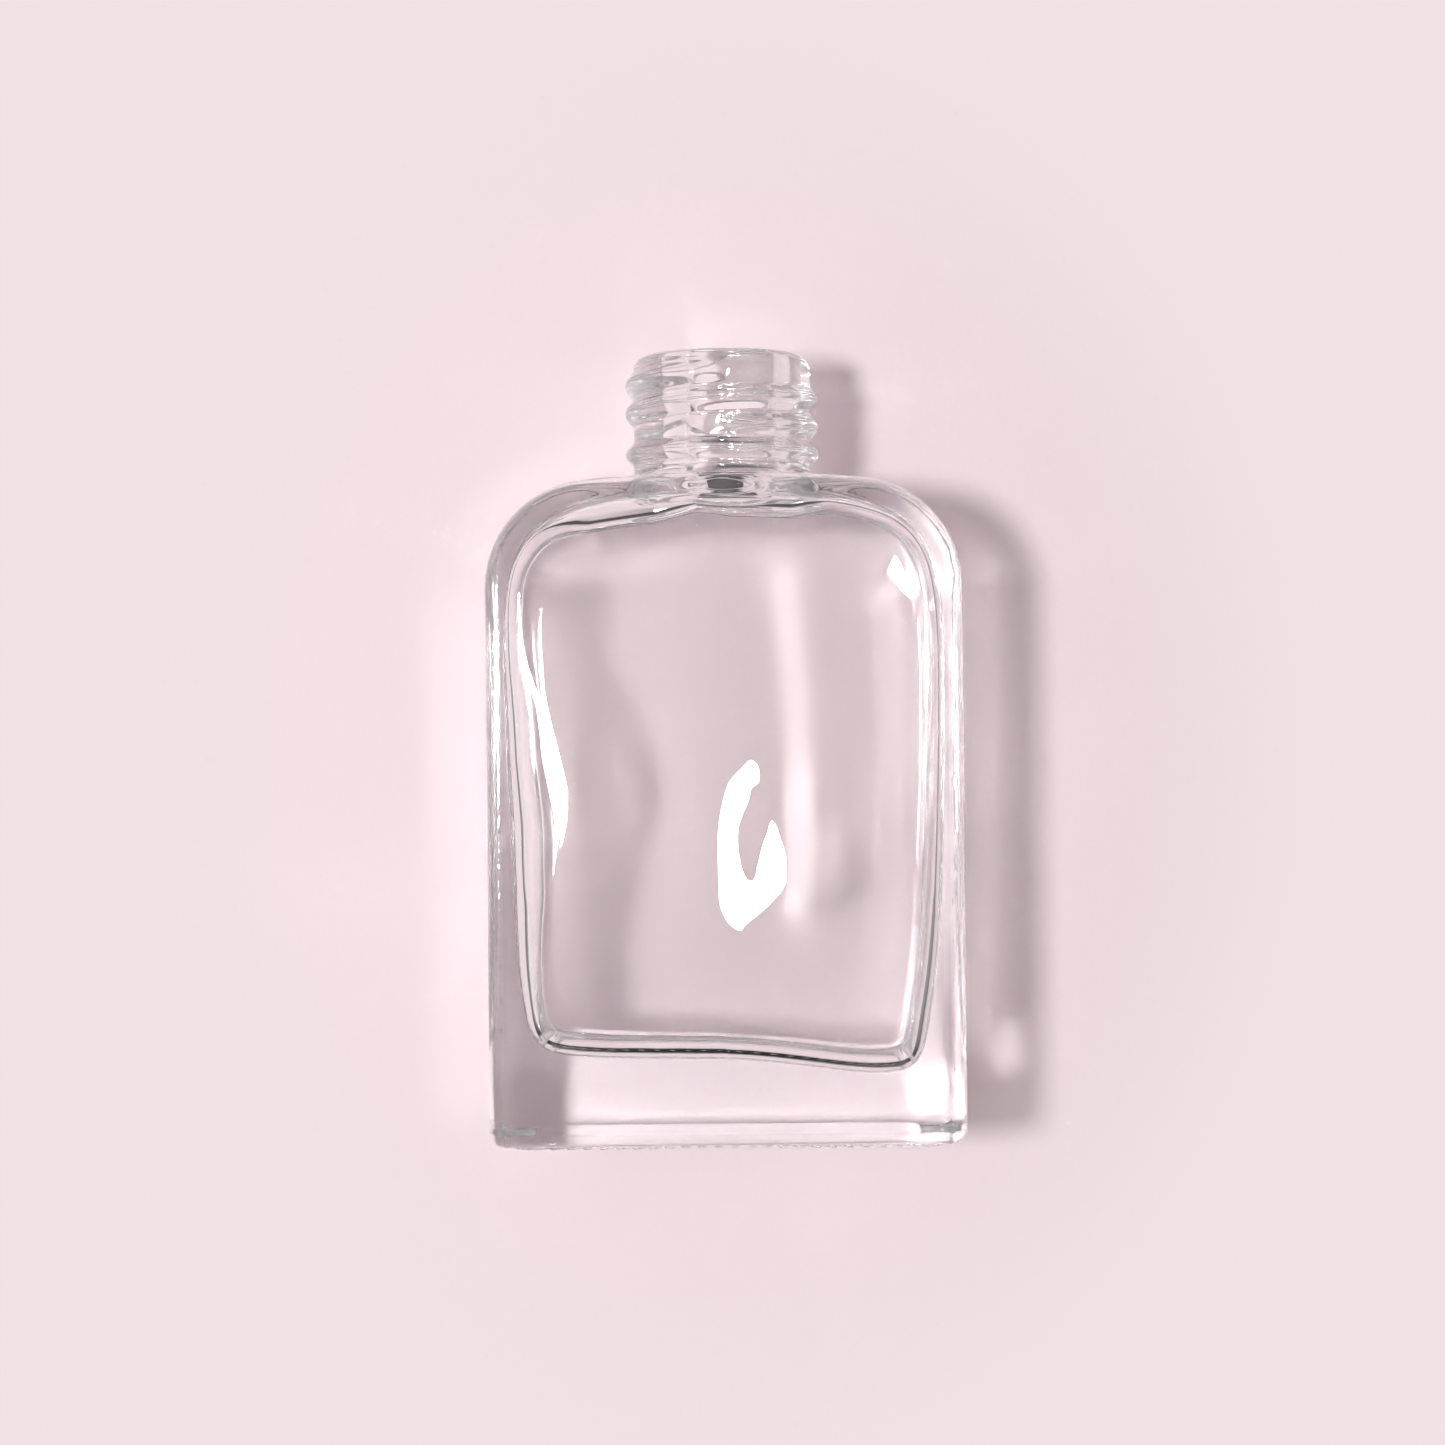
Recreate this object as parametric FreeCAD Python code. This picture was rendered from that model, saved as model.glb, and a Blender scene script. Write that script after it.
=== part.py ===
import FreeCAD
import Part
import math
import os

# Clear flint-glass bottle for nail polish, moulded in one piece from a single gob of glass.
# It lies on its back: width along X, height along Y with the mouth at +Y, depth along Z with
# the back panel on z = 0 and the front panel up.  Millimetres.

# Body
body_width = 35.0
body_height = 49.4  # bearing surface to the crest of the arched shoulder
body_depth = 18.0
shoulder_radius = 8.0
arch_radius = 102.0  # the shoulder rises in a very flat arch towards the neck
edge_radius = 1.25  # round the outline of the front and back panels
heel_radius = 1.2  # round the edge of the base

# Base
bearing_margin = 2.9  # outside wall to the edge of the push-up
pushup_depth = 0.8
pushup_corner_radius = 2.5
pushup_edge_radius = 0.5
knurl_inset = 2.05  # outside wall to the middle of the row of knurls
knurl_corner_radius = 1.6
knurl_pitch = 1.13
knurl_length = 1.1  # across the bearing surface
knurl_foot_width = 0.75
knurl_tip_width = 0.3
knurl_height = 0.25  # how far each knurl stands proud of the bearing surface

# Cavity
front_wall = 2.0
back_wall = 2.0
side_wall_top = 1.15
side_wall_middle = 1.6
side_wall_low = 2.9
shoulder_wall = 1.1
floor_left = 6.7  # the slug of glass in the base, thicker on the left
floor_right = 5.2
middle_level = 19.0  # height above the bearing surface where the wall starts to sweep inwards
cavity_shoulder_radius = 7.2
cavity_corner_radius = 3.0  # where the side walls run into the floor
cavity_edge_radius = 1.8  # round the front and back of the cavity

# Neck finish: continuous right-hand thread over a transfer bead
neck_height = 9.3  # crest of the shoulder to the lip
thread_diameter = 14.6  # T
root_diameter = 13.4  # E
bore_diameter = 7.0
lip_radius = 1.05
mouth_radius = 0.5
thread_pitch = 2.1
thread_width = 1.8
thread_turns = 2.08
thread_start_drop = 6.0  # below the lip
thread_start_angle = -15.0  # from the middle of the front, towards the right
thread_fade_angle = 42.0
thread_bed = 0.15  # the rounded ridge starts this far inside the neck wall
thread_root_depth = 0.5  # and its square back is carried in this far
bead_diameter = 14.6
bead_rise = 1.88  # crest of the shoulder to the crest of the bead
bead_width = 1.5
neck_fillet = 0.8
funnel_radius = 2.0  # inside of the shoulder, where the bore opens into the cavity
funnel_angle = 72.0
funnel_sink = 0.2

overall_height = knurl_height + body_height + neck_height
y_base = knurl_height - overall_height / 2
y_crest = y_base + body_height
y_lip = y_crest + neck_height
axis_z = body_depth / 2
half_width = body_width / 2
root_radius = root_diameter / 2
bore_radius = bore_diameter / 2


def vec(x, y, z=0.0):
    return FreeCAD.Vector(x, y, z)


def polar(centre, radius, angle):
    """Point on a circle in the XY plane; the angle runs from +Y towards +X."""
    return vec(centre.x + radius * math.sin(angle), centre.y + radius * math.cos(angle))


def arch_and_shoulders(half, corner, arch, crest):
    """The top of a flat bottle: a flat arch with a tangent round shoulder on each side."""
    top = vec(0, crest - arch)
    cx = half - corner
    cy = top.y + math.sqrt((arch - corner) ** 2 - cx**2)
    turn = math.asin(cx / (arch - corner))
    quarter = math.pi / 2
    right = vec(cx, cy)
    left = vec(-cx, cy)
    edges = [
        Part.Arc(
            polar(left, corner, -quarter), polar(left, corner, -(quarter + turn) / 2), polar(left, corner, -turn)
        ).toShape(),
        Part.Arc(polar(top, arch, -turn), vec(0, crest), polar(top, arch, turn)).toShape(),
        Part.Arc(
            polar(right, corner, turn), polar(right, corner, (quarter + turn) / 2), polar(right, corner, quarter)
        ).toShape(),
    ]
    return edges, cy


def prism(edges, z_low, z_high):
    wire = Part.Wire(Part.__sortEdges__(edges))
    wire.translate(vec(0, 0, z_low))
    return Part.Face(wire).extrude(vec(0, 0, z_high - z_low))


def revolved(edges):
    """Turn a half profile, drawn in XY with x as the radius, about the neck axis."""
    face = Part.Face(Part.Wire(Part.__sortEdges__(edges)))
    face.translate(vec(0, 0, axis_z))
    return face.revolve(vec(0, 0, axis_z), vec(0, 1, 0), 360)


def line(a, b):
    return Part.makeLine(a, b)


def at_level(edge, y):
    return abs(edge.BoundBox.YMin - y) < 1e-4 and abs(edge.BoundBox.YMax - y) < 1e-4


def along_z(edge):
    return edge.BoundBox.ZLength > 0.5 * body_depth


# Body: the front outline extruded through the depth, then its edges rounded
top_edges, shoulder_level = arch_and_shoulders(half_width, shoulder_radius, arch_radius, y_crest)
outline = top_edges + [
    line(vec(half_width, shoulder_level), vec(half_width, y_base)),
    line(vec(half_width, y_base), vec(-half_width, y_base)),
    line(vec(-half_width, y_base), vec(-half_width, shoulder_level)),
]
body = prism(outline, 0, body_depth)
heel_edges = [e for e in body.Edges if at_level(e, y_base)]
panel_edges = [e for e in body.Edges if not along_z(e) and not at_level(e, y_base)]

# Neck: turned profile with the rounded lip and the transfer bead
bead_level = y_crest + bead_rise
bead_radius = bead_diameter / 2
neck_foot = y_crest - arch_radius + math.sqrt(arch_radius**2 - thread_diameter**2 / 4) - shoulder_wall / 2
lip_turn = lip_radius * math.sin(math.pi / 4)
neck = revolved(
    [
        line(vec(0, neck_foot), vec(root_radius, neck_foot)),
        line(vec(root_radius, neck_foot), vec(root_radius, bead_level - bead_width / 2)),
        Part.Arc(
            vec(root_radius, bead_level - bead_width / 2),
            vec(bead_radius, bead_level),
            vec(root_radius, bead_level + bead_width / 2),
        ).toShape(),
        line(vec(root_radius, bead_level + bead_width / 2), vec(root_radius, y_lip - lip_radius)),
        Part.Arc(
            vec(root_radius, y_lip - lip_radius),
            vec(root_radius - lip_radius + lip_turn, y_lip - lip_radius + lip_turn),
            vec(root_radius - lip_radius, y_lip),
        ).toShape(),
        line(vec(root_radius - lip_radius, y_lip), vec(0, y_lip)),
        line(vec(0, y_lip), vec(0, neck_foot)),
    ]
)

# The outer skin: panels and heel rounded first, then the neck blended into the shoulder
body = body.makeFillet(edge_radius, panel_edges)
heel_edges = [e for e in body.Edges if at_level(e, y_base)]
body = body.makeFillet(heel_radius, heel_edges)
skin = body.fuse(neck).Solids[0]
neck_seam = [
    e
    for e in skin.Edges
    if abs(e.BoundBox.XLength - root_diameter) < 0.1
    and abs(e.BoundBox.ZLength - root_diameter) < 0.1
    and abs(e.BoundBox.YMax - y_crest) < 0.1
]
skin = skin.makeFillet(neck_fillet, neck_seam)

# Thread: a rounded ridge swept along the helix, sinking into the neck wall at both ends
ridge_height = (thread_diameter - root_diameter) / 2
steps = int(thread_turns * 24)
helix = []
for i in range(steps + 1):
    turned = 360.0 * thread_turns * i / steps
    from_end = min(turned, 360.0 * thread_turns - turned)
    fade = max(0.0, 1.0 - from_end / thread_fade_angle)
    sink = (ridge_height + 0.12) * fade**2 * (3 - 2 * fade)
    angle = math.radians(thread_start_angle + turned)
    radius = root_radius - sink
    level = y_lip - thread_start_drop + thread_pitch * turned / 360.0
    helix.append(vec(radius * math.sin(angle), level, axis_z + radius * math.cos(angle)))
path = Part.BSplineCurve()
path.interpolate(Points=helix)
spine = Part.Wire([path.toShape()])
start = math.radians(thread_start_angle)
outward = vec(math.sin(start), 0, math.cos(start))
upward = vec(0, 1, 0)
foot = helix[0] - outward * thread_bed
foot_low = foot - upward * (thread_width / 2)
foot_high = foot + upward * (thread_width / 2)
crest = helix[0] + outward * ridge_height
inner_low = foot_low - outward * thread_root_depth
inner_high = foot_high - outward * thread_root_depth
ridge_profile = Part.Wire(
    [
        Part.Arc(foot_low, crest, foot_high).toShape(),
        line(foot_high, inner_high),
        line(inner_high, inner_low),
        line(inner_low, foot_low),
    ]
)
sweep = Part.BRepOffsetAPI.MakePipeShell(spine)
sweep.setBiNormalMode(upward)
sweep.add(ridge_profile, False, False)
sweep.build()
sweep.makeSolid()
thread = sweep.shape()

# Base: a row of knurls round the bearing ring, and a shallow push-up inside it
ring_x = half_width - knurl_inset - knurl_corner_radius
ring_z = axis_z - knurl_inset - knurl_corner_radius
track_edges = []
corners = [(ring_x, ring_z, 0), (-ring_x, ring_z, 90), (-ring_x, -ring_z, 180), (ring_x, -ring_z, 270)]
for cx, cz, first in corners:
    arc_points = []
    for part in (0, 45, 90):
        a = math.radians(first + part)
        arc_points.append(
            vec(cx + knurl_corner_radius * math.cos(a), y_base, axis_z + cz + knurl_corner_radius * math.sin(a))
        )
    track_edges.append(Part.Arc(*arc_points).toShape())
for i in range(4):
    track_edges.append(line(track_edges[i].Vertexes[-1].Point, track_edges[(i + 1) % 4].Vertexes[0].Point))
track = Part.Wire(Part.__sortEdges__(track_edges))
knurl_count = round(track.Length / knurl_pitch)
knurls = []
for i in range(knurl_count):
    along = track.Length * (i + 0.5) / knurl_count
    for edge in track.Edges:
        if along <= edge.Length:
            break
        along -= edge.Length
    at = edge.getParameterByLength(along)
    middle = edge.valueAt(at)
    run = edge.tangentAt(at)
    across = vec(-run.z, 0, run.x) * (knurl_length / 2)
    foot_half = run * (knurl_foot_width / 2)
    tip_half = run * (knurl_tip_width / 2)
    root = vec(0, knurl_height, 0)
    tip = vec(0, -knurl_height, 0)
    end = middle - across
    section = Part.makePolygon(
        [
            end - foot_half,
            end - tip_half + tip,
            end + tip_half + tip,
            end + foot_half,
            end + foot_half + root,
            end - foot_half + root,
            end - foot_half,
        ]
    )
    knurls.append(Part.Face(section).extrude(across * 2))

pushup = Part.makeBox(
    body_width - 2 * bearing_margin,
    pushup_depth,
    body_depth - 2 * bearing_margin,
    vec(-half_width + bearing_margin, y_base, bearing_margin),
)
upright = [e for e in pushup.Edges if abs(e.BoundBox.YLength - pushup_depth) < 1e-4 and e.BoundBox.XLength < 1e-4]
pushup = pushup.makeFillet(pushup_corner_radius, upright)
pushup = pushup.makeFillet(pushup_edge_radius, [e for e in pushup.Edges if at_level(e, y_base + pushup_depth)])

# Cavity: the blown inside, with thin shoulders, walls that thicken downwards and a sloping floor
cavity_crest = y_crest - shoulder_wall
cavity_half = half_width - side_wall_top
cavity_top, cavity_level = arch_and_shoulders(
    cavity_half, cavity_shoulder_radius, arch_radius - shoulder_wall, cavity_crest
)
cavity_outline = list(cavity_top)
feet = []
for side, floor in ((1, floor_right), (-1, floor_left)):
    high = vec(side * cavity_half, cavity_level)
    middle = vec(side * (half_width - side_wall_middle), y_base + middle_level)
    foot = vec(side * (half_width - side_wall_low), y_base + floor)
    # the sweep is the arc that leaves the upper wall tangentially and ends at the foot
    lean = (middle - high).normalize()
    chord = foot - middle
    normal = vec(-side * -lean.y, -side * lean.x)
    radius = chord.Length**2 / (2 * chord.dot(normal))
    centre = middle + normal * radius
    halfway = (middle + foot) * 0.5 - centre
    bulge = centre + halfway.normalize() * abs(radius)
    cavity_outline.append(line(high, middle))
    cavity_outline.append(Part.Arc(middle, bulge, foot).toShape())
    feet.append(foot)
foot_right, foot_left = feet
cavity_outline.append(line(foot_right, foot_left))
cavity = prism(cavity_outline, back_wall, body_depth - front_wall)
floor_top = max(foot_left.y, foot_right.y) + 1e-4
corner_edges = [e for e in cavity.Edges if e.BoundBox.ZLength > 0.1 and e.BoundBox.YMax < floor_top]
cavity = cavity.makeFillet(cavity_corner_radius, corner_edges)
rim_edges = [e for e in cavity.Edges if e.BoundBox.ZLength < 0.1]
cavity = cavity.makeFillet(cavity_edge_radius, rim_edges)

# Bore: straight through the neck, eased at the mouth and opening like a funnel into the cavity
turn = math.radians(funnel_angle)
funnel_top = cavity_crest - funnel_sink + funnel_radius * math.sin(turn)
centre_r = bore_radius + funnel_radius
funnel_end = vec(centre_r - funnel_radius * math.cos(turn), funnel_top - funnel_radius * math.sin(turn))
funnel_mid = vec(centre_r - funnel_radius * math.cos(turn / 2), funnel_top - funnel_radius * math.sin(turn / 2))
mouth_turn = mouth_radius * math.sin(math.pi / 4)
well_depth = cavity_crest - cavity_edge_radius
bore = revolved(
    [
        line(vec(0, well_depth), vec(funnel_end.x, well_depth)),
        line(vec(funnel_end.x, well_depth), funnel_end),
        Part.Arc(funnel_end, funnel_mid, vec(bore_radius, funnel_top)).toShape(),
        line(vec(bore_radius, funnel_top), vec(bore_radius, y_lip - mouth_radius)),
        Part.Arc(
            vec(bore_radius, y_lip - mouth_radius),
            vec(bore_radius + mouth_radius - mouth_turn, y_lip - mouth_radius + mouth_turn),
            vec(bore_radius + mouth_radius, y_lip),
        ).toShape(),
        line(vec(bore_radius + mouth_radius, y_lip), vec(bore_radius + mouth_radius, y_lip + mouth_radius)),
        line(vec(bore_radius + mouth_radius, y_lip + mouth_radius), vec(0, y_lip + mouth_radius)),
        line(vec(0, y_lip + mouth_radius), vec(0, well_depth)),
    ]
)

bottle = skin.fuse(thread)
bottle = bottle.multiFuse(knurls)
bottle = bottle.cut(pushup)
bottle = bottle.cut(cavity.fuse(bore))
bottle = bottle.removeSplitter()
bottle = bottle.Solids[0] if len(bottle.Solids) == 1 else bottle

os.makedirs("parts", exist_ok=True)
bottle.exportStep("parts/glass_bottle.step")
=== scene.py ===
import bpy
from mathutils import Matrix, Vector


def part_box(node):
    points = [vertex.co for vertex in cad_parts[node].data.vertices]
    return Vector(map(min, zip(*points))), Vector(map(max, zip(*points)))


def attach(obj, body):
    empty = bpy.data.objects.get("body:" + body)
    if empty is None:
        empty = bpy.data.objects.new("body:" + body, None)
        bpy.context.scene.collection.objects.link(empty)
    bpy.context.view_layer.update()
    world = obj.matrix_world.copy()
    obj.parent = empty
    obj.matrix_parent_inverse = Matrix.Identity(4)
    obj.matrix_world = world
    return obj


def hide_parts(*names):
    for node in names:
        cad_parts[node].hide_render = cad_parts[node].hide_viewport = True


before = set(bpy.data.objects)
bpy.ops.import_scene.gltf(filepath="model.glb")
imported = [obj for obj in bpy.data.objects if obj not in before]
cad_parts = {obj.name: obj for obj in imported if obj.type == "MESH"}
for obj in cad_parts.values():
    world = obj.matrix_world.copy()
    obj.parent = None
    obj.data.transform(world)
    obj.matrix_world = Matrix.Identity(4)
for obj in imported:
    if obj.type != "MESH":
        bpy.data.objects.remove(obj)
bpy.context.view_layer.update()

import math

import bpy
import numpy as np
from mathutils import Vector

# Glass bottle: one gob of clear flint glass, pressed and blown in a two-part mould, which gives
# the true outside round an uneven blown inside. The skin is one closed surface, laid row by row
# on a grid: from the middle of the base up the outside, over the lip and down the inside.
MM = 0.001
low, high = (np.array(corner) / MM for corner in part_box("glass_bottle"))
knurl_height = 0.25
y_base = low[1] + knurl_height
y_lip = high[1]
axis_z = (low[2] + high[2]) / 2
half_width = (high[0] - low[0]) / 2
half_depth = (high[2] - low[2]) / 2
neck_height = 9.3
y_crest = y_lip - neck_height
around_count = 352  # points in each turn round the bottle


def rounded_ring(half_x, half_z, corner):
    """One turn round a rounded rectangle, from the middle of the front towards +X."""
    quarter = around_count // 4
    flat_front, bend = 48, 20  # points along the front and round the corner
    flat_side = quarter - flat_front - bend
    crowding = 0.8  # brings the points on the narrow side closer to its corners
    front = np.linspace(0, 1, flat_front, endpoint=False) * (half_x - corner)
    turn = np.linspace(0, np.pi / 2, bend, endpoint=False)
    side = np.linspace(1, 0, flat_side, endpoint=False) ** crowding * (half_z - corner)
    round_x = half_x - corner + corner * np.sin(turn)
    round_z = half_z - corner + corner * np.cos(turn)
    x = np.concatenate([front, round_x, np.full(flat_side, half_x), [half_x]])
    z = np.concatenate([np.full(flat_front, half_z), round_z, side, [0.0]])
    # the other three quarters mirror the first, so the points match all round
    xs = np.concatenate([x[:-1], x[:0:-1], -x[:-1], -x[:0:-1]])
    zs = np.concatenate([z[:-1], -z[:0:-1], -z[:-1], z[:0:-1]])
    return xs, zs


def round_ring(radius):
    """One turn round a circle, from the front towards +X."""
    turn = np.arange(around_count) / around_count * 2 * np.pi
    return radius * np.sin(turn), radius * np.cos(turn)


def ring_at(outline, y):
    """The points of an outline at the height y."""
    xs, zs = outline
    return np.stack([xs, np.broadcast_to(y, xs.shape), zs], axis=1)


def top_height(x, z, half, corner, arch, crest, edge, depth):
    """Height over x and z of an arched shoulder with rounded edges, and where it starts."""
    dz = np.clip(np.abs(z) - (depth - edge), 0, edge)
    inset = edge - np.sqrt(np.maximum(edge**2 - dz**2, 0))
    cx = half - corner
    cy = crest - arch + math.sqrt((arch - corner) ** 2 - cx**2)
    turn = math.asin(cx / (arch - corner))
    on_arch = np.abs(x) <= (arch - inset) * math.sin(turn)
    over_arch = crest - arch + np.sqrt(np.maximum((arch - inset) ** 2 - x**2, 0))
    over_corner = cy + np.sqrt(np.maximum((corner - inset) ** 2 - (np.abs(x) - cx) ** 2, 0))
    return np.where(on_arch, over_arch, over_corner), cy


def cap(start, stop, count, height, level):
    """Rings from the outline start to the outline stop over a rounded cap, evenly spaced."""
    trial_count, crowding = 400, 2.2  # trial points, closer together at the start
    share = np.linspace(0, 1, trial_count) ** crowding
    x = start[0][:, None] + (stop[0] - start[0])[:, None] * share
    z = start[1][:, None] + (stop[1] - start[1])[:, None] * share
    y = height(x, z)
    x = np.concatenate([start[0][:, None], x], axis=1)
    z = np.concatenate([start[1][:, None], z], axis=1)
    y = np.concatenate([np.full((around_count, 1), level), y], axis=1)
    step = np.sqrt(np.diff(x) ** 2 + np.diff(y) ** 2 + np.diff(z) ** 2)
    run = np.concatenate([np.zeros((around_count, 1)), np.cumsum(step, axis=1)], axis=1)
    rings = []
    for share in np.linspace(0, 1, count):
        ring = np.empty((around_count, 3))
        for i in range(around_count):
            at = share * run[i, -1]
            ring[i] = [np.interp(at, run[i], line[i]) for line in (x, y, z)]
        rings.append(ring)
    return rings


# push-up, with a round edge into the bearing ring
pushup_margin, pushup_depth, pushup_edge = 2.9, 0.8, 0.5
pushup_x, pushup_z = half_width - pushup_margin, half_depth - pushup_margin
pushup_corner, middle_corner = 2.5, 2.0
skin = []
for share in (0.0, 0.25, 0.5, 0.75):
    flat = rounded_ring(
        (pushup_x - pushup_edge) * share, (pushup_z - pushup_edge) * share, middle_corner * share)
    skin.append(ring_at(flat, y_base + pushup_depth))
for turn in np.linspace(0, np.pi / 2, 5):
    out = pushup_edge * (1 - math.sin(turn))
    rise = pushup_depth - pushup_edge * (1 - math.cos(turn))
    edge_ring = rounded_ring(pushup_x - out, pushup_z - out, pushup_corner - out)
    skin.append(ring_at(edge_ring, y_base + rise))
skin.append(ring_at(rounded_ring(pushup_x, pushup_z, pushup_corner), y_base))

# the knurls that the bottle stands on, one to every four columns, from their inner foot to the
# outer one: distance from the outside, corner radius, and whether the bars reach down there
bars = np.isin(np.arange(around_count) % 4, (1, 2))
for inset, corner, down in ((2.62, 2.1, 0), (2.45, 1.9, 1), (1.65, 1.3, 1), (1.48, 1.2, 0)):
    ring = ring_at(rounded_ring(half_width - inset, half_depth - inset, corner), y_base)
    ring[:, 1] -= knurl_height * down * bars
    skin.append(ring)

# round heel and straight walls
edge_radius, heel_radius, corner_gap = 1.25, 1.2, 0.02
body_ring = rounded_ring(half_width, half_depth, edge_radius)
for turn in np.linspace(0, np.pi / 2, 8):
    out = heel_radius * (1 - math.sin(turn))
    heel_ring = rounded_ring(half_width - out, half_depth - out, edge_radius + corner_gap - out)
    skin.append(ring_at(heel_ring, y_base + heel_radius * (1 - math.cos(turn))))
shoulder_radius, arch_radius = 8.0, 102.0
shoulder = (half_width, shoulder_radius, arch_radius, y_crest, edge_radius, half_depth)
shoulder_level = top_height(0.0, 0.0, *shoulder)[1]
heel_level = y_base + heel_radius
for share in np.linspace(0, 1, 9)[1:-1]:
    skin.append(ring_at(body_ring, heel_level + (shoulder_level - heel_level) * share))


def outer_top(x, z):
    return top_height(x, z, *shoulder)[0]


# shoulder, and the fillet up to the neck
root_radius, neck_fillet = 6.7, 0.8
foot = round_ring(root_radius + neck_fillet)
skin += cap(body_ring, foot, 33, outer_top, shoulder_level)
foot_level = outer_top(*foot)
for turn in np.linspace(0, np.pi / 2, 8)[1:]:
    ring = round_ring(root_radius + neck_fillet * (1 - math.sin(turn)))
    skin.append(ring_at(ring, foot_level + neck_fillet * (1 - math.cos(turn))))

# neck finish: transfer bead and a right-hand thread whose rounded ridge fades out at both ends
lip_radius, mouth_radius, bore_radius = 1.05, 0.5, 3.5
bore_shift, funnel_shift = 0.5, -0.9  # the blown bore and its funnel lie a little off the middle
ridge_height, ridge_half = 0.62, 0.95
bead_rise, bead_half = 1.88, 0.85
bead_level = y_crest + bead_rise
thread_pitch, thread_turns, thread_start, thread_fade = 2.1, 2.08, -15.0, 42.0
thread_start_drop = 6.0
thread_level = y_lip - thread_start_drop
bearing = np.degrees(np.arange(around_count) / around_count * 2 * np.pi)


def ridge(distance, half):
    """Rounded profile of a moulded ridge, 1 on its crest."""
    t = np.clip(np.abs(distance) / half, 0, 1)
    fullness = 1.15
    return (1 - t * t) ** fullness


def neck_radius(y):
    radius = root_radius + ridge_height * ridge(y - bead_level, bead_half)
    for turn in range(int(thread_turns) + 1):
        turned = (bearing - thread_start) % 360 + 360 * turn
        left = np.minimum(turned, 360 * thread_turns - turned)
        t = np.clip(left / thread_fade, 0, 1)
        crest = thread_level + thread_pitch * turned / 360
        radius = radius + ridge_height * t * t * (3 - 2 * t) * ridge(y - crest, ridge_half)
    return radius


def neck_ring(y, out=0.0):
    """One turn round the threaded neck at the height y, with its radius less by out."""
    x, z = round_ring(1.0)
    radius = neck_radius(np.broadcast_to(y, x.shape)) - out
    return ring_at((x * radius, z * radius), y)


neck_start = foot_level + neck_fillet
neck_stop = y_lip - lip_radius
for share in np.linspace(0, 1, 68)[1:]:
    skin.append(neck_ring(neck_start + (neck_stop - neck_start) * share))
for turn in np.linspace(0, np.pi / 2, 10)[1:]:
    level = neck_stop + lip_radius * math.sin(turn)
    skin.append(neck_ring(level, lip_radius * (1 - math.cos(turn))))
for turn in np.linspace(0, np.pi / 2, 6):
    ring = round_ring(bore_radius + mouth_radius * (1 - math.sin(turn)))
    ring = ring_at(ring, y_lip - mouth_radius * (1 - math.cos(turn)))
    ring[:, 0] += bore_shift
    skin.append(ring)

# The blown cavity is a pillow whose sides, top and floor swell into one another, so the walls
# thicken downwards on both sides and the floor drops to the right. Each of the two broad walls
# has a thick ridge or drop, and a few flatter facets that lean to one side and catch the lamp.
broad_wall, shoulder_wall = 2.0, 0.85
cavity_depth = half_depth - broad_wall
cavity_crest = y_crest - shoulder_wall
side_reach, floor_reach = 16.35, 11.5


def smooth_curve(at, xs, ys, span=3.0):
    """A smooth curve through the points, by averaging the straight one over a few mm."""
    shifts = np.linspace(-span, span, 13)
    return sum(np.interp(at + shift, xs, ys) for shift in shifts) / len(shifts)


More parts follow.
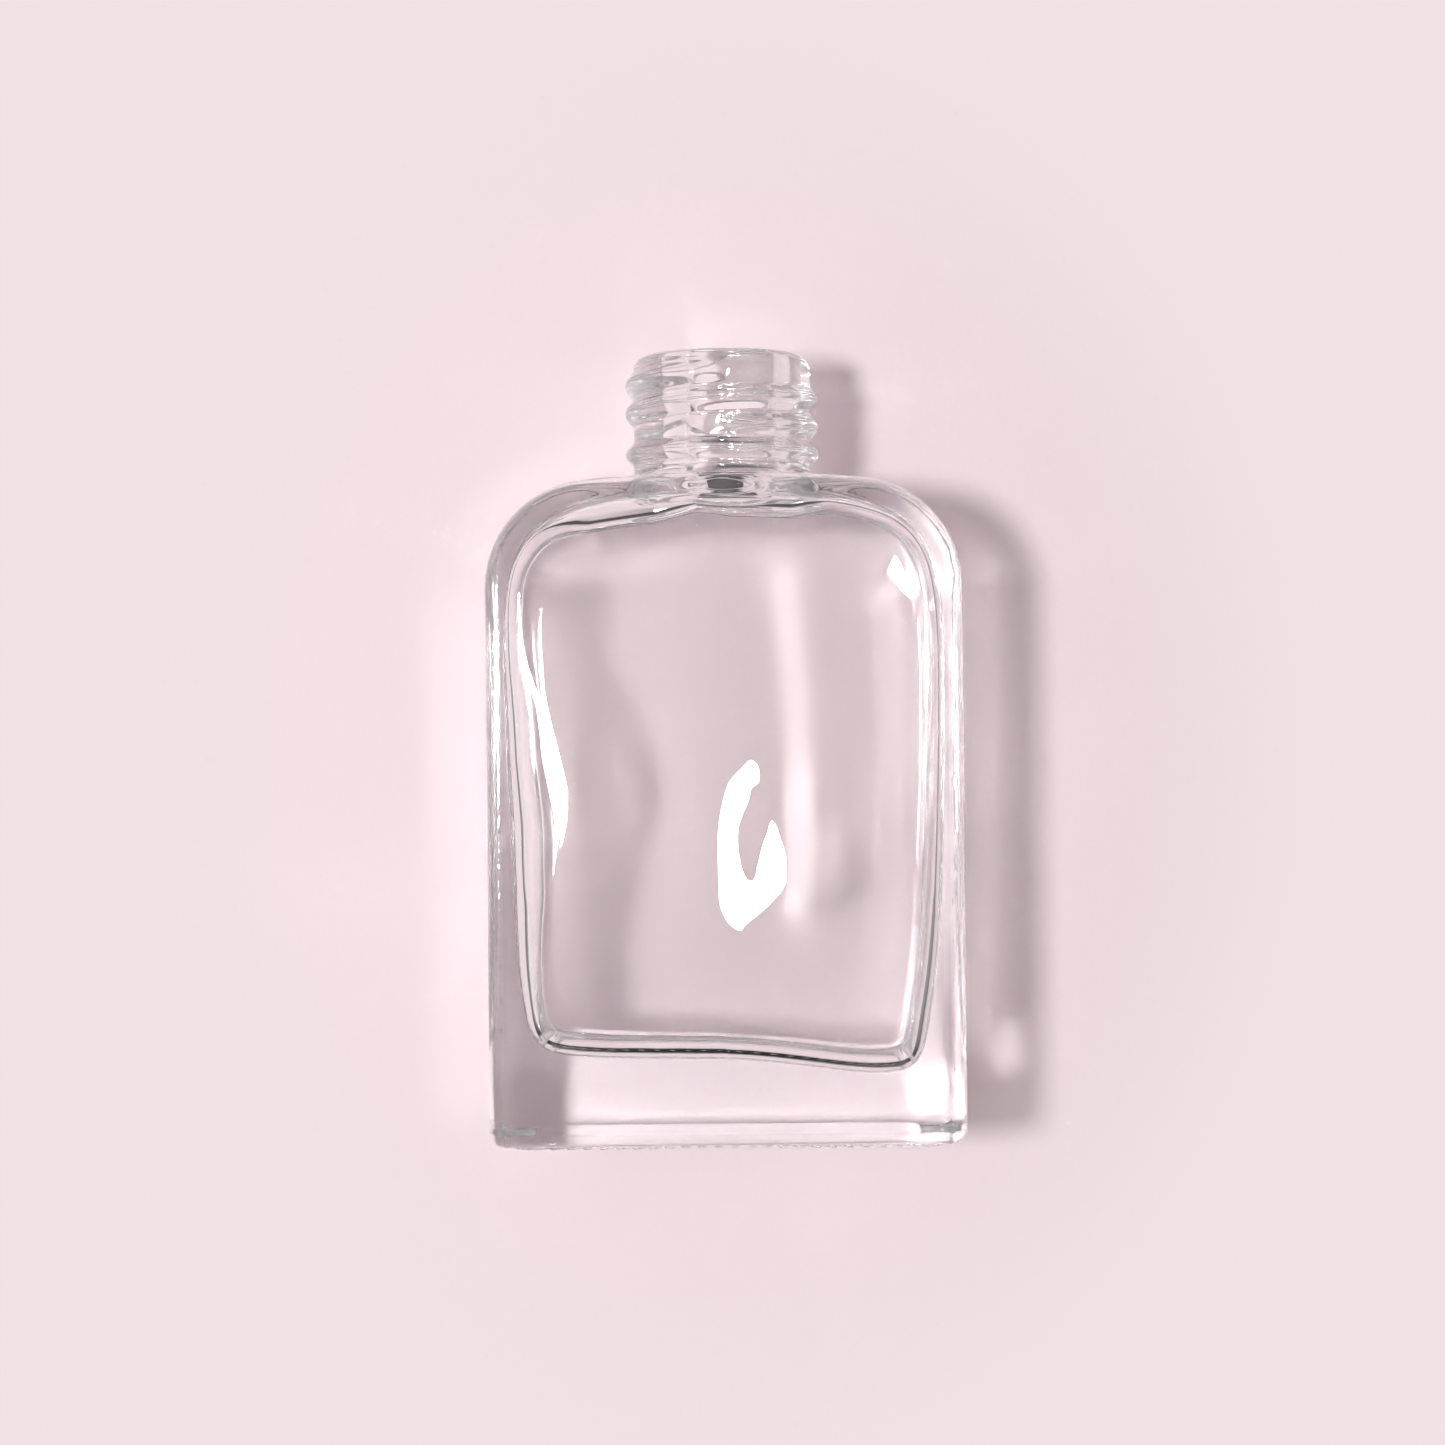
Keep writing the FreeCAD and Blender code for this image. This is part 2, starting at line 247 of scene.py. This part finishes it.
class Relief:
    """A gentle relief in mm over a broad wall, fitted to facets of known slope."""

    def __init__(self, facets, base, rest=0.03, step=0.2):
        self.xs = np.arange(-19.0, 19.01, step)
        self.ys = np.arange(-27.0, 23.01, step)
        gx, gy = np.meshgrid(self.xs, self.ys)
        want_x, want_y = np.zeros_like(gx), np.zeros_like(gx)
        hold = np.full_like(gx, rest)
        ground = base(gx, gy)
        ground_y, ground_x = np.gradient(ground, step)
        for outline, slope_x, slope_y in facets:
            mask = self.mask(gx, gy, np.array(outline))
            want_x += mask * (slope_x - ground_x - want_x)
            want_y += mask * (slope_y - ground_y - want_y)
            hold += mask * (1 - hold)
        self.height = ground + self.fit(want_x, want_y, hold, step)

    @staticmethod
    def mask(gx, gy, outline, soft=0.2):
        """1 inside the outline and 0 outside, with a soft edge."""
        distance = np.full(gx.shape, 1e9)
        inside = np.zeros(gx.shape, bool)
        for (ax, ay), (bx, by) in zip(outline, np.roll(outline, -1, axis=0)):
            t = (gx - ax) * (bx - ax) + (gy - ay) * (by - ay)
            t = np.clip(t / ((bx - ax) ** 2 + (by - ay) ** 2 + 1e-12), 0, 1)
            off = np.hypot(gx - ax - t * (bx - ax), gy - ay - t * (by - ay))
            distance = np.minimum(distance, off)
            crosses = (ay > gy) != (by > gy)
            inside ^= crosses & (gx < (bx - ax) * (gy - ay) / (by - ay + 1e-12) + ax)
        t = np.clip(np.where(inside, distance, -distance) / soft + 0.8, 0, 1)
        return t * t * (3 - 2 * t)

    @staticmethod
    def fit(want_x, want_y, hold, step):
        """Heights whose slopes come closest to the wanted ones, by conjugate gradients."""
        wx = (hold[:, 1:] + hold[:, :-1]) / 2
        wy = (hold[1:] + hold[:-1]) / 2
        gx = (want_x[:, 1:] + want_x[:, :-1]) / 2
        gy = (want_y[1:] + want_y[:-1]) / 2

        def spread(fx, fy):
            out = np.zeros_like(hold)
            out[:, 1:] += fx
            out[:, :-1] -= fx
            out[1:] += fy
            out[:-1] -= fy
            return out

        def pull(h):
            return spread(wx * (h[:, 1:] - h[:, :-1]), wy * (h[1:] - h[:-1])) + 2e-5 * h

        height = np.zeros_like(hold)
        left = spread(wx * gx * step, wy * gy * step)
        way = left.copy()
        size = (left * left).sum()
        for _ in range(900):
            pulled = pull(way)
            move = size / (way * pulled).sum()
            height += move * way
            left -= move * pulled
            new = (left * left).sum()
            if new < 1e-16:
                break
            way = left + new / size * way
            size = new
        return height

    def at(self, x, y):
        """The relief at x and y, smoothed by a cubic B-spline."""
        step = self.xs[1] - self.xs[0]
        u = np.clip((x - self.xs[0]) / step, 1, len(self.xs) - 3.001)
        v = np.clip((y - self.ys[0]) / step, 1, len(self.ys) - 3.001)
        i, j = u.astype(int), v.astype(int)

        def weights(f):
            return (
                (1 - f) ** 3 / 6,
                (3 * f**3 - 6 * f**2 + 4) / 6,
                (-3 * f**3 + 3 * f**2 + 3 * f + 1) / 6,
                f**3 / 6,
            )

        total = 0.0
        for m, wv in enumerate(weights(v - j)):
            for n, wu in enumerate(weights(u - i)):
                total = total + wv * wu * self.height[j + m - 1, i + n - 1]
        return total


# outlines of the facets in mm: the hook right of the middle, the hollow in it, the streak along
# the left side, and the spot at the upper right of the back wall
hook = [
    (0.93, -2.01), (0.34, -2.45), (0.04, -2.89), (-0.25, -4.21), (-0.47, -5.09), (-0.62, -6.41),
    (-0.69, -8.32), (-0.69, -10.89), (-0.54, -11.84), (-0.32, -12.51), (0.04, -12.95),
    (0.56, -13.17), (1.07, -13.09), (1.59, -12.80), (2.17, -12.43), (2.83, -11.99),
    (3.49, -11.48), (3.94, -11.04), (4.30, -10.52), (4.52, -9.94), (4.52, -8.76), (4.38, -7.73),
    (4.08, -6.85), (3.57, -6.41), (3.05, -6.41), (2.76, -7.00), (2.61, -7.73), (2.47, -8.47),
    (2.32, -9.20), (1.88, -9.72), (1.44, -9.50), (1.07, -8.91), (0.85, -8.17), (0.70, -7.29),
    (0.70, -6.26), (0.78, -5.38), (1.00, -4.50), (1.29, -3.99), (1.59, -3.33), (1.59, -2.59),
    (1.29, -2.15)]
hollow = [
    (0.78, -5.24), (0.70, -6.26), (0.70, -7.29), (0.85, -8.17), (1.07, -8.91), (1.44, -9.50),
    (1.88, -9.72), (2.32, -9.20), (2.47, -8.47), (2.61, -7.73), (2.76, -7.00), (3.05, -6.41),
    (2.91, -5.53)]
streak = [
    (-13.90, 4.90), (-13.61, 4.30), (-13.32, 3.43), (-13.02, 2.25), (-12.66, 1.08),
    (-12.14, -0.24), (-11.63, -1.57), (-11.26, -3.18), (-11.41, -4.80), (-11.63, -5.82),
    (-12.00, -6.56), (-12.36, -7.29), (-12.51, -8.76), (-12.66, -10.52), (-13.10, -11.62),
    (-17.94, -11.26), (-17.94, 3.20), (-14.60, 4.40)]
spot = [
    (12.60, 13.71), (12.97, 14.29), (13.48, 14.44), (14.14, 14.00), (14.51, 13.71),
    (14.80, 13.12), (14.95, 12.53), (15.02, 11.21), (13.92, 11.28), (13.33, 11.94),
    (12.82, 12.53), (12.53, 13.12)]


def bell(t):
    return np.exp(-t * t)


def swell(x, y):
    """The thick ridge that runs down the front wall, as a change of depth."""
    # the ridge has soft ends, leans to the left in its upper part and is thickest below the middle
    top, foot, softness = 15.0, -14.0, 1.2
    ends = 1 / (1 + np.exp((y - top) / softness)) / (1 + np.exp((foot - y) / softness))
    lean, lean_from = 0.09, 3.0
    crest = -0.5 - lean * np.maximum(y - lean_from, 0)
    thickness, belly, half = 0.34, 0.08, 2.4
    across = np.exp(-(((x - crest) / half) ** 2) / 2)
    long_ridge = -(thickness + belly * bell((y + 6.0) / 5.0)) * across
    # a small lens of glass on it, and thinner places to its right and above the floor
    lens = -0.14 * np.exp(-(((x + 1.0) / 1.1) ** 2) / 2 - ((y + 6.6) / 2.3) ** 2 / 2)
    right = 0.22 / (1 + np.exp(-(x - 6.5) / 1.3)) * bell((y + 8.0) / 5.0)
    low_down = 0.16 * bell((y + 11.0) / 7.5)
    return long_ridge * ends + lens + right + low_down


def drop(x, y):
    """A thicker drop of glass on the back wall, to the right of the hook."""
    thickness, half_wide, half_high = 0.14, 0.8, 2.2
    return thickness * np.exp(
        -(((x - 5.6) / half_wide) ** 2) / 2 - ((y + 7.0) / half_high) ** 2 / 2)


# the slope of each facet along X and Y
front_relief = Relief(
    [(hollow, 0.075, -0.01), (hook, 0.1256, -0.036), (streak, 0.09, -0.005)], swell)
back_relief = Relief([(spot, 0.228, 0.03)], drop)

# half-width of the cavity on each side by height over the base, and the floor from left to right
side_rise = [0.0, 7.0, 9.0, 12.0, 15.0, 19.0, 26.0, 34.0, 42.0, 60.0]
left_half = [14.0, 14.4, 14.9, 15.35, 15.6, 15.8, 16.05, 16.3, 16.35, 16.35]
right_half = [14.3, 14.7, 15.1, 15.6, 15.85, 16.1, 16.3, 16.4, 16.35, 16.35]
floor_x = [-14.0, -9.0, -4.0, 0.0, 3.0, 6.0, 9.0, 11.5, 14.0]
floor_rise = [6.4, 6.15, 6.05, 6.0, 5.77, 5.4, 5.0, 4.8, 4.75]


def side_half(x, y):
    rise = y - y_base
    left, right = (smooth_curve(rise, side_rise, half) for half in (left_half, right_half))
    return np.where(x < 0, left, right)


def floor_height(x):
    return y_base + smooth_curve(x, floor_x, floor_rise, 1.5)


def crest_height(x):
    return cavity_crest - arch_radius + np.sqrt(arch_radius**2 - x**2)


def depth_at(x, y, front):
    """Half-thickness of the cavity, to the front wall or to the back wall."""
    over = cavity_depth + front_relief.at(x, y)
    under = cavity_depth - back_relief.at(x, y)
    return np.where(front, over, under)


# the long corners by height: radius, squareness, and a cut at 45 degrees near the floor
corner_levels = [
    -29.0, -20.0, -16.0, -13.0, -10.5, -8.0, -6.0, -3.5, -1.0, 2.0, 6.0, 12.0, 16.0, 19.0]
left_radius = [1.6, 1.6, 2.2, 3.0, 3.8, 4.2, 4.5, 4.0, 3.4, 3.2, 2.3, 1.1, 0.6, 0.35]
right_radius = [1.5, 1.5, 1.5, 1.6, 1.8, 1.9, 1.8, 1.6, 1.5, 1.4, 1.4, 1.2, 0.8, 0.4]
corner_square = [2.2, 2.2, 2.4, 2.8, 3.2, 3.5, 3.5, 3.5, 3.5, 3.5, 3.5, 3.2, 2.8, 2.4]
corner_cut = [0.07, 0.07, 0.07, 0.04, 0.0, 0.0, 0.0, 0.0, 0.0, 0.0, 0.0, 0.0, 0.0, 0.0]
back_radius, back_square = (1.6, 0.8), (2.6, 2.1)  # left, right


def corner_form(x, y, front):
    """Radius, squareness and cut of the corner nearest to x and y."""
    left = x < 0
    radius, left_form, square, cut = (
        np.interp(y, corner_levels, form)
        for form in (right_radius, left_radius, corner_square, corner_cut))
    radius = np.where(left, left_form, radius)
    return (
        np.where(front, radius, np.where(left, *back_radius)),
        np.where(front, square, np.where(left, *back_square)),
        np.where(front, cut, 0.0),
    )


# how far the top of the cavity is vaulted, and its cone towards the edge, from left to right
vault_x = [-14.0, -10.0, -5.0, -2.0, 1.0, 5.0, 8.0, 11.0, 14.0]
vault_bulge = [1.2, 1.6, 1.4, 1.0, 1.0, 1.1, 0.9, 0.9, 0.7]
vault_cone = [0.8, 1.1, 1.0, 0.7, 1.0, 0.9, 0.4, 0.4, 0.2]
long_power, short_power = 11.5, 5


def outline_inset(x, y):
    """How far inside the cavity's outline, and how much the narrow walls bulge and lean there."""
    across = (np.abs(x) / side_half(x, y)) ** long_power
    up = np.clip(1 - (crest_height(x) - y) / side_reach, 0, 2) ** short_power
    down = np.clip(1 - (y - floor_height(x)) / floor_reach, 0, 2) ** long_power
    at_floor = down / (across + down + 1e-9)
    sides = (across + down) ** (short_power / long_power)
    at_top = up / (up + sides + 1e-9)
    inset = (1 - (sides + up) ** (1 / short_power)) * (16.0 - 4.5 * at_floor)
    # the narrow walls bulge a little, more on the right, and the floor and the top bulge more
    vault, cone = (np.interp(x, vault_x, form) for form in (vault_bulge, vault_cone))
    bulge = 0.3 + 0.2 * np.tanh(x / 3.0)
    floor_bulge = (0.55 - bulge) * at_floor * (1 - at_top)
    top_share = at_top**1.2
    return inset, bulge + floor_bulge + (vault - bulge) * top_share, 0.02 + cone * top_share


def outside(inset, bulge, cone, depth, radius, square, cut, z):
    """Roughly how many mm a point lies outside the inner wall; negative in the cavity."""
    z = np.abs(z)
    start = depth - cone
    inset = inset - bulge * np.minimum(z / start, 1) ** 3 - np.maximum(z - start, 0)
    in_side, in_depth = (np.maximum(radius - gap, 0) ** square for gap in (inset, depth - z))
    corner = (in_side + in_depth) ** (1 / square) - radius
    facet = (radius * (2 - 2 ** (1 - 1 / square)) + cut - inset - (depth - z)) / 1.414
    soft = 0.12
    blend = np.maximum(soft - np.abs(corner - facet), 0) ** 2 / (4 * soft) * (cut > 0)
    return np.maximum(corner, facet) + blend


def wall_form(x, y, front):
    return *outline_inset(x, y), depth_at(x, y, front), *corner_form(x, y, front)


def halved(near, far, is_out):
    """Closes in on the inner wall between near and far."""
    for _ in range(40):
        middle = (near + far) / 2
        out = is_out(middle)
        far = np.where(out, middle, far)
        near = np.where(out, near, middle)
    return far


def wall_depth(x, y):
    """How far the front wall lies from the middle plane."""
    form = wall_form(x, y, True)
    far = depth_at(x, y, True) + 0.5
    return halved(np.zeros(x.shape), far, lambda z: outside(*form, z) > 0)


def blown(points):
    """Moves points outwards or inwards along rays from the middle line onto the inner wall."""
    above_floor, below_crest = 14.0, 12.0
    heart = np.zeros_like(points)
    heart[..., 1] = np.clip(points[..., 1], y_base + above_floor, y_crest - below_crest)
    ray = points - heart

    def is_out(share):
        x, y, z = np.moveaxis(heart + ray * share[..., None], -1, 0)
        return outside(*wall_form(x, y, z > 0), z) > 0

    shape = points.shape[:2]
    return heart + ray * halved(np.zeros(shape), np.full(shape, 2.0), is_out)[..., None]


# a plain bag of the cavity's size, whose points are then moved onto the blown wall
bag_half, bag_edge, bag_shoulder = 16.0, 1.9, 6.0
floor_corner, floor_arch, floor_thickness = 3.0, 900.0, 6.0
bag_top = (bag_half, bag_shoulder, arch_radius, cavity_crest, bag_edge, cavity_depth)
bag_floor = (bag_half, floor_corner, floor_arch, 0.0, bag_edge, cavity_depth)
bag_foot = y_base + floor_thickness
top_level = top_height(0.0, 0.0, *bag_top)[1]
foot_start = bag_foot - top_height(0.0, 0.0, *bag_floor)[1]
bag_ring = rounded_ring(bag_half, cavity_depth, bag_edge)
funnel = 1.8  # its height, and how much wider than the bore it ends
wide_x, wide_z = round_ring(bore_radius + funnel)
inside = cap(
    bag_ring, (wide_x + funnel_shift, wide_z), 42, lambda x, z: top_height(x, z, *bag_top)[0],
    top_level)[::-1]
for share in np.linspace(0, 1, 42)[1:-1]:
    inside.append(ring_at(bag_ring, top_level + (foot_start - top_level) * share))
inside += cap(
    bag_ring, round_ring(0.0), 30, lambda x, z: bag_foot - top_height(x, z, *bag_floor)[0],
    foot_start)
inside = blown(np.array(inside))

# bore, and the funnel where it opens into the cavity
bore = ring_at(round_ring(bore_radius), 0.0)
bore[:, 0] += bore_shift
bore_top = y_lip - mouth_radius
funnel_foot = inside[0]
for share in np.linspace(0, 1, 5)[1:-1]:
    ring = bore.copy()
    ring[:, 1] = bore_top + (funnel_foot[:, 1] + funnel - bore_top) * share
    skin.append(ring)
for turn in np.linspace(np.pi / 2, 0, 8)[:-1]:
    ring = bore + (funnel_foot - bore) * (1 - math.sin(turn))
    ring[:, 1] = funnel_foot[:, 1] + funnel * (1 - math.cos(turn))
    skin.append(ring)
skin = np.concatenate([np.array(skin), inside])

# the rows are laid on a grid, whose seam and poles are then merged
bpy.ops.object.select_all(action="DESELECT")
bpy.ops.mesh.primitive_grid_add(x_subdivisions=around_count, y_subdivisions=len(skin) - 1)
bottle = bpy.context.object
bottle.name = "flint_glass_bottle"
wrapped = np.concatenate([skin, skin[:, :1]], axis=1)
wrapped[..., 2] += axis_z
bottle.data.vertices.foreach_set("co", (wrapped * MM).ravel())
bottle.data.update()
bpy.ops.object.mode_set(mode="EDIT")
bpy.ops.mesh.select_all(action="SELECT")
bpy.ops.mesh.remove_doubles(threshold=2e-7)
bpy.ops.mesh.dissolve_degenerate(threshold=1e-7)
bpy.ops.mesh.select_all(action="DESELECT")
bpy.ops.object.mode_set(mode="OBJECT")

# the inner front wall round the hook gets twice the faces, and they are set on the wall again
wall_low, wall_high = 14.0, 17.5
split_left, split_right, split_foot, split_top = -2.0, 6.0, -15.0, -0.5
set_half, set_foot, set_top = 13.0, -16.0, 1.0
for face in bottle.data.polygons:
    x, y, z = face.center / MM
    in_reach = split_left < x < split_right and split_foot < y < split_top
    face.select = in_reach and wall_low < z < wall_high
bpy.ops.object.mode_set(mode="EDIT")
bpy.ops.mesh.subdivide(number_cuts=1)
bpy.ops.object.mode_set(mode="OBJECT")
spots = np.empty(len(bottle.data.vertices) * 3)
bottle.data.vertices.foreach_get("co", spots)
spots = spots.reshape(-1, 3) / MM
x, y, z = spots.T
fine = (np.abs(x) < set_half) & (y > set_foot) & (y < set_top) & (z > wall_low) & (z < wall_high)
spots[fine, 2] = axis_z + wall_depth(x[fine], y[fine])
bottle.data.vertices.foreach_set("co", (spots * MM).ravel())
bottle.data.update()
bpy.ops.object.shade_smooth()


def linear(code):
    """An sRGB hex colour as linear light."""
    shades = [int(code[i : i + 2], 16) / 255 for i in (0, 2, 4)]
    return [v / 12.92 if v <= 0.04045 else ((v + 0.055) / 1.055) ** 2.4 for v in shades] + [1.0]


def add_node(tree, kind, settings={}, values={}, links={}):
    """Adds one node, with its settings, the values of its sockets and what feeds them."""
    node = tree.nodes.new(kind)
    for name, value in settings.items():
        setattr(node, name, value)
    for socket, value in values.items():
        node.inputs[socket].default_value = value
    for socket, output in links.items():
        tree.links.new(output, node.inputs[socket])
    return node


# Flint glass, fire-polished by the flame over the mould: clear, very slightly green where it is
# thick, and smooth. The outer edges keep the fine waviness of the mould, about 0.9 mm long,
# which breaks the line of light along them. It fades on the panels and stops at the shoulder.
flint = bpy.data.materials.new("fire_polished_flint_glass")
flint.use_nodes = True
tree = flint.node_tree
glass = tree.nodes["Principled BSDF"]
glass.inputs["Base Color"].default_value = linear("FFFFFF")
glass.inputs["Roughness"].default_value = 0.0
glass.inputs["IOR"].default_value = 1.52
glass.inputs["Transmission Weight"].default_value = 1.0
wave_length, wave_height = 0.9 * MM, 0.04 * MM
place = add_node(tree, "ShaderNodeTexCoord")
wave = add_node(
    tree, "ShaderNodeTexNoise", {}, {"Scale": 1 / wave_length, "Detail": 1.0},
    {"Vector": place.outputs["Object"]})
facing = add_node(tree, "ShaderNodeSeparateXYZ", {}, {}, {"Vector": place.outputs["Normal"]})
where = add_node(tree, "ShaderNodeSeparateXYZ", {}, {}, {"Vector": place.outputs["Object"]})
flatness = add_node(
    tree, "ShaderNodeMath", {"operation": "ABSOLUTE"}, {}, {0: facing.outputs["Z"]})
# how far the surface has turned from the panels and from the narrow sides
off_panel = add_node(
    tree, "ShaderNodeMapRange", {}, {"From Min": 0.995, "From Max": 0.96},
    {"Value": flatness.outputs["Value"]})
off_side = add_node(
    tree, "ShaderNodeMapRange", {}, {"From Min": 0.15, "From Max": 0.5},
    {"Value": flatness.outputs["Value"]})
aside = add_node(tree, "ShaderNodeMath", {"operation": "ABSOLUTE"}, {}, {0: where.outputs["X"]})
outer = add_node(
    tree, "ShaderNodeMapRange", {}, {"From Min": 16.2 * MM, "From Max": 16.5 * MM, "To Min": 0.06},
    {"Value": aside.outputs["Value"]})
below_neck = add_node(
    tree, "ShaderNodeMapRange", {}, {"From Min": 20.0 * MM, "From Max": 18.0 * MM},
    {"Value": where.outputs["Y"]})
share = off_panel.outputs["Result"]
for part in (
    off_side.outputs["Result"], outer.outputs["Result"], below_neck.outputs["Result"],
    wave.outputs["Fac"],
):
    share = add_node(
        tree, "ShaderNodeMath", {"operation": "MULTIPLY"}, {}, {0: share, 1: part}).outputs["Value"]
bump = add_node(
    tree, "ShaderNodeBump", {}, {"Strength": 1.0, "Distance": wave_height}, {"Height": share})
tree.links.new(bump.outputs["Normal"], glass.inputs["Normal"])
tint = add_node(
    tree, "ShaderNodeVolumeAbsorption", {}, {"Color": linear("BCCBCA"), "Density": 7.0})
tree.links.new(tint.outputs["Volume"], tree.nodes["Material Output"].inputs["Volume"])
bottle.data.materials.clear()
bottle.data.materials.append(flint)
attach(bottle, "root")
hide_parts("glass_bottle")

# Floor: a plain sheet of pale pink uncoated paper, laid flat a hair below the back of the
# bottle. It takes the bottle's shadow and the light that the glass gathers.
bpy.ops.object.select_all(action="DESELECT")
floor_gap, floor_size = 0.2 * MM, 3.0
bpy.ops.mesh.primitive_plane_add(size=floor_size, location=(0, 0, -floor_gap))
floor = bpy.context.object
floor.name = "paper_floor"
# uncoated paper: matt, with no sheen
paper = bpy.data.materials.new("pink_uncoated_paper")
paper.use_nodes = True
tree = paper.node_tree
sheet = tree.nodes["Principled BSDF"]
sheet.inputs["Base Color"].default_value = linear("F1E2E5")
sheet.inputs["Roughness"].default_value = 0.9
sheet.inputs["Specular IOR Level"].default_value = 0.0
# away from the bottle it runs into the even backdrop, for what is seen directly or through glass
backdrop = linear("F1E1E4")
near_edge, far_edge, sideways = 34 * MM, 60 * MM, 1.25


def seen_plainly(tree):
    """1 for a view that has met no mirror and no matt surface on its way, else 0."""
    path = add_node(tree, "ShaderNodeLightPath")
    bounces = add_node(
        tree, "ShaderNodeMath", {"operation": "ADD"}, {},
        {0: path.outputs["Glossy Depth"], 1: path.outputs["Diffuse Depth"]})
    return add_node(
        tree, "ShaderNodeMath", {"operation": "LESS_THAN"}, {1: 0.5},
        {0: bounces.outputs["Value"]}).outputs["Value"]


place = add_node(tree, "ShaderNodeTexCoord")
oval = add_node(
    tree, "ShaderNodeVectorMath", {"operation": "MULTIPLY"}, {1: (sideways, 1.0, 0.0)},
    {0: place.outputs["Object"]})
distance = add_node(
    tree, "ShaderNodeVectorMath", {"operation": "LENGTH"}, {}, {0: oval.outputs["Vector"]})
away = add_node(
    tree, "ShaderNodeMapRange", {"interpolation_type": "SMOOTHSTEP"},
    {"From Min": near_edge, "From Max": far_edge}, {"Value": distance.outputs["Value"]})
share = add_node(
    tree, "ShaderNodeMath", {"operation": "MULTIPLY"}, {},
    {0: away.outputs["Result"], 1: seen_plainly(tree)})
even = add_node(tree, "ShaderNodeEmission", {}, {"Color": backdrop, "Strength": 1.0})
blend = add_node(
    tree, "ShaderNodeMixShader", {}, {},
    {0: share.outputs["Value"], 1: sheet.outputs["BSDF"], 2: even.outputs["Emission"]})
tree.links.new(blend.outputs["Shader"], tree.nodes["Material Output"].inputs["Surface"])
floor.data.materials.append(paper)

# Camera: straight above the bottle and turned by half a degree, so far away that the bottle
# fills a little over half of the frame's height.
scene = bpy.context.scene
lens = bpy.data.cameras.new("camera")
lens.sensor_width = 36
lens.lens = 74.7
lens.clip_start = 0.01
camera = bpy.data.objects.new("camera", lens)
camera_rise = 0.2273  # over the middle of the bottle
camera.location = (-0.00017, 0.001775, axis_z * MM + camera_rise)
camera.rotation_euler = (0, 0, math.radians(-0.54))
scene.collection.objects.link(camera)
scene.camera = camera

# Light: one round lamp high on the left, and a soft room that is darker low down, straight
# above and at both ends of the bottle, and lighter on the left.
lamp = bpy.data.lights.new("key_lamp", "AREA")
lamp.shape = "DISK"
lamp.size = 0.073
lamp.energy = 1.3
key = bpy.data.objects.new("key_lamp", lamp)
key.location = (-0.170, 0.008, 0.45)
aim = Vector((0, 0, axis_z * MM))
key.rotation_euler = (aim - key.location).to_track_quat("-Z", "Y").to_euler()
scene.collection.objects.link(key)
world = bpy.data.worlds.new("room")
world.use_nodes = True
scene.world = world
room = world.node_tree
background = room.nodes["Background"]
background.inputs["Color"].default_value = linear("FFF8FB")
direction = add_node(room, "ShaderNodeTexCoord")
parts = add_node(room, "ShaderNodeSeparateXYZ", {}, {}, {"Vector": direction.outputs["Generated"]})
# each fade runs along one part of the direction, between two places, from one level to another
fades = {}
for name, axis, start, stop, first, last in (
    ("lengthwise", "Y", -1.0, 1.0, 0.0, 1.0),
    ("climb", "Z", 0.05, 0.5, 0.22, 0.5),
    ("overhead", "Z", 0.93, 0.99, 1.0, 0.35),
    ("left", "X", -0.35, -0.8, 0.0, 0.5),
    ("left_climb", "Z", 0.12, 0.3, 0.0, 1.0),
):
    values = {"From Min": start, "From Max": stop, "To Min": first, "To Max": last}
    node = add_node(room, "ShaderNodeMapRange", {}, values, {"Value": parts.outputs[axis]})
    fades[name] = node.outputs["Result"]
ends = add_node(room, "ShaderNodeValToRGB", {}, {}, {"Fac": fades["lengthwise"]})
stops = ends.color_ramp.elements
for at, shade in ((0.05, 0.03), (0.35, 1.0), (0.65, 1.0), (0.95, 0.3)):
    stops.new(at).color = (shade, shade, shade, 1)
stops.remove(stops[0])
stops.remove(stops[-1])
height_light = ends.outputs["Color"]
for name in ("climb", "overhead"):
    node = add_node(
        room, "ShaderNodeMath", {"operation": "MULTIPLY"}, {}, {0: height_light, 1: fades[name]})
    height_light = node.outputs["Value"]
left_light = add_node(
    room, "ShaderNodeMath", {"operation": "MULTIPLY"}, {},
    {0: fades["left"], 1: fades["left_climb"]})
strength = add_node(
    room, "ShaderNodeMath", {"operation": "ADD"}, {},
    {0: height_light, 1: left_light.outputs["Value"]})
room.links.new(strength.outputs["Value"], background.inputs["Strength"])
even = add_node(room, "ShaderNodeBackground", {}, {"Color": backdrop, "Strength": 1.0})
blend = add_node(
    room, "ShaderNodeMixShader", {}, {},
    {0: seen_plainly(room), 1: background.outputs["Background"], 2: even.outputs["Background"]})
room.links.new(blend.outputs["Shader"], room.nodes["World Output"].inputs["Surface"])

# enough bounces for the light to find its way in and out of the glass
scene.cycles.max_bounces = 48
scene.cycles.glossy_bounces = 48
scene.cycles.transmission_bounces = 48
scene.cycles.diffuse_bounces = 6
scene.cycles.transparent_max_bounces = 16
scene.cycles.caustics_refractive = True
scene.cycles.caustics_reflective = True
scene.cycles.blur_glossy = 0.0
scene.cycles.sample_clamp_indirect = 0
scene.cycles.use_guiding = True
scene.view_settings.view_transform = "Standard"
